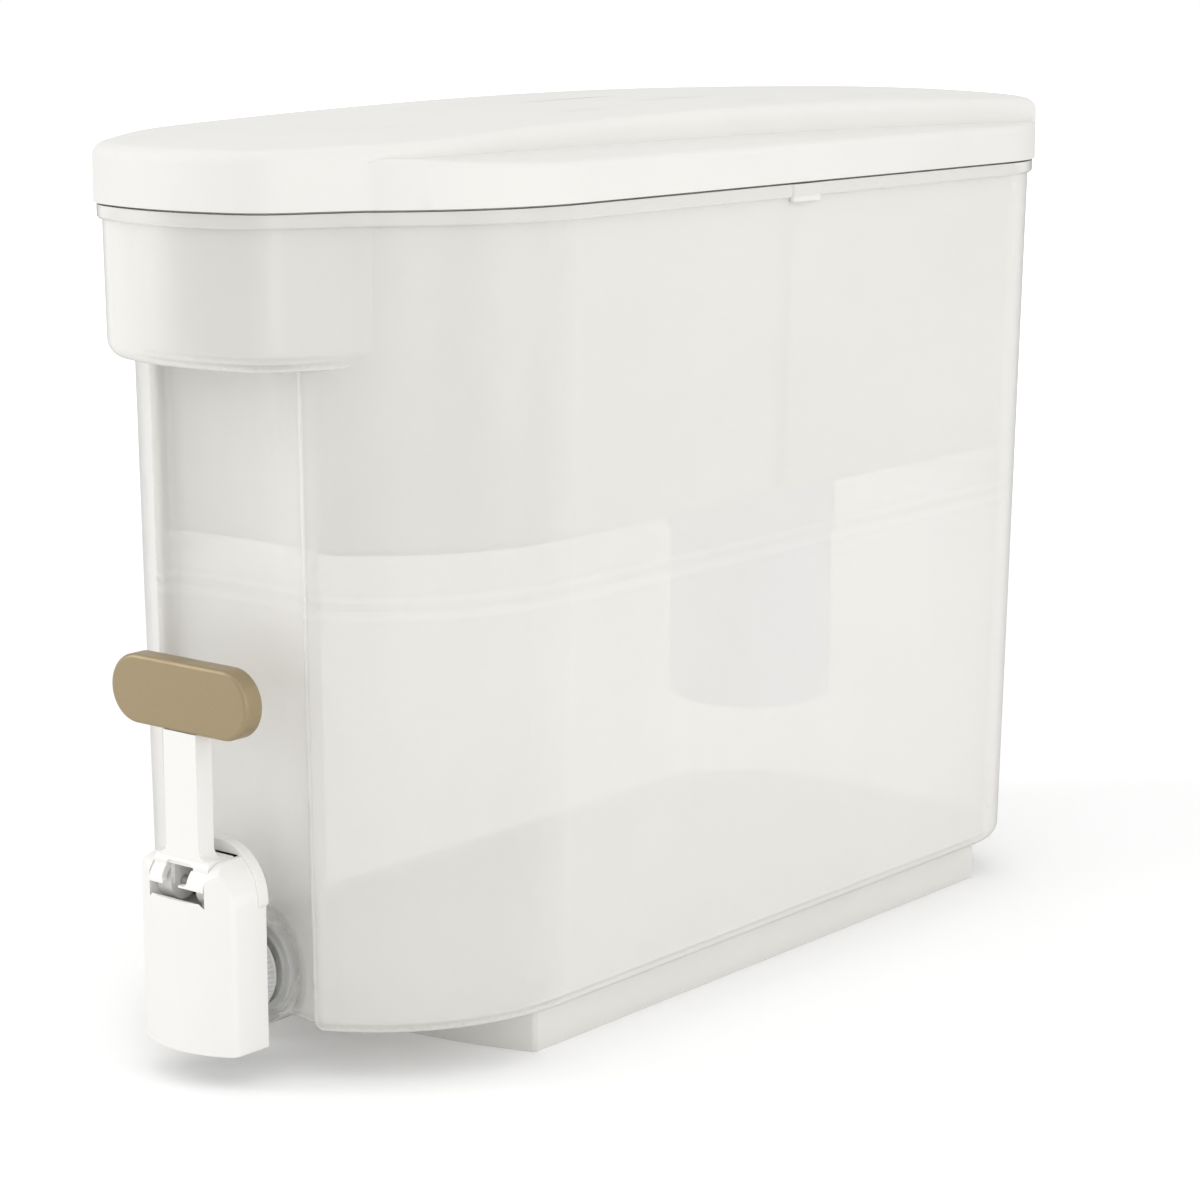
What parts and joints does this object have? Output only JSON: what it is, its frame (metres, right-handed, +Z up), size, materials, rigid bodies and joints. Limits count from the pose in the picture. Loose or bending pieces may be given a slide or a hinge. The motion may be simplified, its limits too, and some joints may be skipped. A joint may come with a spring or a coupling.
{
  "type": "gravity water filter with tap",
  "caption": "Slim countertop water dispenser: frosted tank, lift-out reservoir with a filter cartridge, loose lid, and a front lever tap in a shallow channel.",
  "frame": {"origin": "on the ground under the middle of the lid's outline", "axes": "+Z up, the tap faces -Y, +X to the right of someone facing +Y"},
  "size_m": [0.16, 0.381, 0.2855],
  "materials": {
    "frosted_tank": "frosted translucent moulding",
    "frosted_reservoir": "frosted translucent moulding",
    "white_lid": "satin white",
    "white_tap": "satin warm white",
    "champagne_paddle": "matt champagne paint",
    "steel": "drawn wire and pin stock",
    "silicone": "food-grade silicone",
    "clear_nut": "natural moulded plastic",
    "cartridge_shell": "gloss blue moulding",
    "black_rubber": "o-ring rubber",
    "screen_cloth": "bonded filter cloth",
    "carbon": "packed carbon granules",
    "resin": "packed resin beads"
  },
  "bodies": {
    "tank": {"tank": "frosted_tank", "foot_skirt": "frosted_tank", "tap_core": "white_tap", "tap_housing": "white_tap", "tap_back_cover": "white_tap", "pivot_pin": "steel", "return_spring": "steel", "stem_bonnet": "white_tap", "tap_collar": "clear_nut", "outer_washer": "silicone", "inner_washer": "silicone", "tap_nut": "clear_nut"},
    "lever": {"tap_lever": "white_tap", "lever_paddle": "champagne_paddle"},
    "stem": {"valve_stem": "white_tap", "valve_seal": "silicone"},
    "reservoir": {"reservoir": "frosted_reservoir"},
    "lid": {"lid": "white_lid"},
    "cartridge": {"cartridge_body": "cartridge_shell", "cartridge_cap": "cartridge_shell", "cartridge_o_ring": "black_rubber", "inlet_screen": "screen_cloth", "carbon_media": "carbon", "ion_resin": "resin", "outlet_screen": "screen_cloth"}
  },
  "joints": [
    {"name": "lever_hinge", "type": "hinge", "parent": "tank", "child": "lever", "pos_m": [0, -0.1794, 0.0598], "axis": [1, 0, 0], "range_deg": [0, 30], "stiffness_Nm_per_rad": 0.08, "springref_deg": -11.46},
    {"name": "stem_slide", "type": "slide", "parent": "tank", "child": "stem", "axis": [0, 0, 1], "range_m": [0, 0.002], "deforming": ["return_spring"]},
    {"name": "reservoir_lift", "type": "slide", "parent": "tank", "child": "reservoir", "axis": [0, 0, 1], "range_m": [0, 0.2]},
    {"name": "lid_lift", "type": "slide", "parent": "reservoir", "child": "lid", "axis": [0, 0, 1], "range_m": [0, 0.12]},
    {"name": "cartridge_lift", "type": "slide", "parent": "reservoir", "child": "cartridge", "axis": [0, 0, 1], "range_m": [0, 0.08]}
  ],
  "couplings": [
    {"joint": "stem_slide", "follows": "lever_hinge", "m_per_rad": 0.0038}
  ]
}
